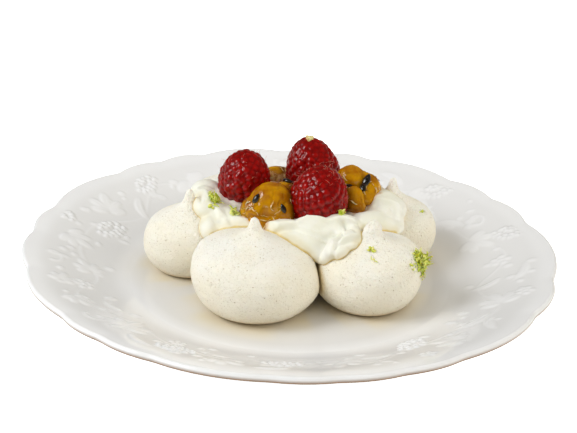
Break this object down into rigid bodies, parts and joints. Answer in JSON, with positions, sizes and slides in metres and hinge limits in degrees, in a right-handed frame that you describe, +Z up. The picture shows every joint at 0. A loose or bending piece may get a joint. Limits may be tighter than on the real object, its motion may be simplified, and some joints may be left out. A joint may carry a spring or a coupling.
{
  "type": "pavlova",
  "caption": "Small pavlova on a scalloped porcelain plate: piped meringue kisses in a ring around whipped cream, topped with raspberries and passion fruit pulp.",
  "frame": {"origin": "centre of the plate's foot ring, on the surface that it stands on", "axes": "+Z up, -Y towards the front, where the cream runs down between two kisses, +X to the right"},
  "size_m": [0.2109, 0.2102, 0.0558],
  "materials": {
    "porcelain": "smooth glossy white glaze with low relief on the border",
    "meringue": "dry matte off-white shell with fine pores",
    "whipped_cream": "soft satin ivory cream",
    "raspberry": "deep red drupelets with a soft sheen and fine hairs",
    "passion_fruit_pulp": "wet translucent golden orange pulp with black seeds"
  },
  "bodies": {
    "root": {"plate": "porcelain", "kiss_front": "meringue", "kiss_front_right": "meringue", "kiss_right": "meringue", "kiss_back_right": "meringue", "kiss_back_left": "meringue", "kiss_left": "meringue", "cream": "whipped_cream", "raspberry_left": "raspberry", "raspberry_back": "raspberry", "raspberry_front": "raspberry", "pulp_front": "passion_fruit_pulp", "pulp_right": "passion_fruit_pulp", "pulp_low": "passion_fruit_pulp", "pulp_back": "passion_fruit_pulp"}
  },
  "joints": []
}
